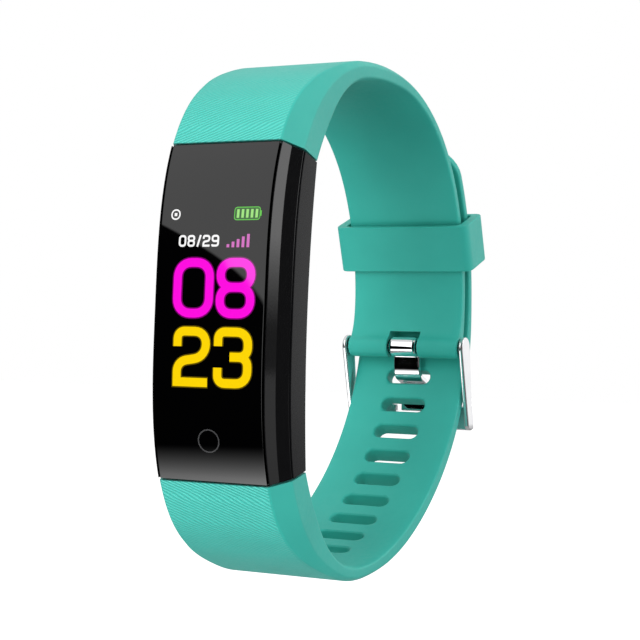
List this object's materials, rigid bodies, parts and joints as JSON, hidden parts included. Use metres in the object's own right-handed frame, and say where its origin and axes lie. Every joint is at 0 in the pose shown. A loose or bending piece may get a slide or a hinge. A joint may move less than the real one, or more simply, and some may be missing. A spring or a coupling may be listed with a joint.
{
  "type": "fitness tracker band",
  "caption": "Slim activity tracker: curved glass capsule on a buckled two-piece silicone wrist strap with a loose keeper loop.",
  "frame": {"origin": "middle of the wrist loop, half way along the capsule and half way across the strap", "axes": "+X across the strap, to the right when looking at the display; -Y is where the display looks; +Z is the display's upper end"},
  "size_m": [0.023, 0.0687, 0.0729],
  "materials": {
    "antenna_chip": "white ceramic",
    "battery": "silver laminated pouch",
    "buckle_frame": "mirror polish",
    "buckle_prong": "mirror polish",
    "display_flex": "amber film",
    "display_panel": "black display glass",
    "display_tray": "bright pressed sheet",
    "front_frame": "gloss black",
    "front_lens": "gloss black window",
    "keeper_loop": "matte silicone",
    "lens_gasket": "matte black foam tape",
    "main_board": "green board lacquer",
    "memory_chip": "moulded black",
    "motion_sensor": "moulded black",
    "motor_body": "drawn can",
    "motor_weight": "sintered",
    "photodiode": "dark glossy window",
    "pin_barrel": "plain tube",
    "pin_spring": "plain wire",
    "pin_tip_left": "plain",
    "pin_tip_right": "plain",
    "radio_chip": "moulded black",
    "rear_cover": "satin black",
    "sensor_board": "green board lacquer",
    "sensor_led_left": "clear green-tinted diode",
    "sensor_led_right": "clear green-tinted diode",
    "sensor_window": "smoked, gloss",
    "strap_lower": "matte silicone, fine diagonal texture on the front",
    "strap_upper": "matte silicone, fine diagonal texture on the front",
    "touch_electrode": "amber film",
    "usb_contact_1": "gold plated",
    "usb_contact_2": "gold plated",
    "usb_contact_3": "gold plated",
    "usb_contact_4": "gold plated",
    "usb_tongue": "green board lacquer"
  },
  "bodies": {
    "band": {"antenna_chip": "antenna_chip", "battery": "battery", "display_flex": "display_flex", "display_panel": "display_panel", "display_tray": "display_tray", "front_frame": "front_frame", "front_lens": "front_lens", "lens_gasket": "lens_gasket", "main_board": "main_board", "memory_chip": "memory_chip", "motion_sensor": "motion_sensor", "motor_body": "motor_body", "photodiode": "photodiode", "pin_barrel": "pin_barrel", "pin_spring": "pin_spring", "radio_chip": "radio_chip", "rear_cover": "rear_cover", "sensor_board": "sensor_board", "sensor_led_left": "sensor_led_left", "sensor_led_right": "sensor_led_right", "sensor_window": "sensor_window", "strap_lower": "strap_lower", "strap_upper": "strap_upper", "touch_electrode": "touch_electrode", "usb_contact_1": "usb_contact_1", "usb_contact_2": "usb_contact_2", "usb_contact_3": "usb_contact_3", "usb_contact_4": "usb_contact_4", "usb_tongue": "usb_tongue"},
    "keeper": {"keeper_loop": "keeper_loop"},
    "buckle_frame": {"buckle_frame": "buckle_frame"},
    "buckle_prong": {"buckle_prong": "buckle_prong"},
    "pin_tip_left": {"pin_tip_left": "pin_tip_left"},
    "pin_tip_right": {"pin_tip_right": "pin_tip_right"},
    "motor_rotor": {"motor_weight": "motor_weight"}
  },
  "joints": [
    {"name": "keeper_slide", "type": "hinge", "parent": "band", "child": "keeper", "pos_m": [0, -0.00817, 0.00357], "axis": [1, 0, 0], "range_deg": [-9, 8]},
    {"name": "buckle_swing", "type": "hinge", "parent": "band", "child": "buckle_frame", "pos_m": [0, 0.02715, -0.0024], "axis": [1, 0, 0], "range_deg": [0, 90]},
    {"name": "prong_swing", "type": "hinge", "parent": "band", "child": "buckle_prong", "pos_m": [0, 0.02715, -0.0024], "axis": [1, 0, 0], "range_deg": [0, 4]},
    {"name": "pin_tip_left_press", "type": "slide", "parent": "band", "child": "pin_tip_left", "axis": [1, 0, 0], "range_m": [0, 0.0012], "stiffness_N_per_m": 200, "springref_m": -0.001},
    {"name": "pin_tip_right_press", "type": "slide", "parent": "band", "child": "pin_tip_right", "axis": [-1, 0, 0], "range_m": [0, 0.0012], "stiffness_N_per_m": 200, "springref_m": -0.001},
    {"name": "motor_spin", "type": "hinge", "parent": "band", "child": "motor_rotor", "pos_m": [0, -0.0285, -0.0136], "axis": [1, 0, 0], "continuous": true}
  ]
}
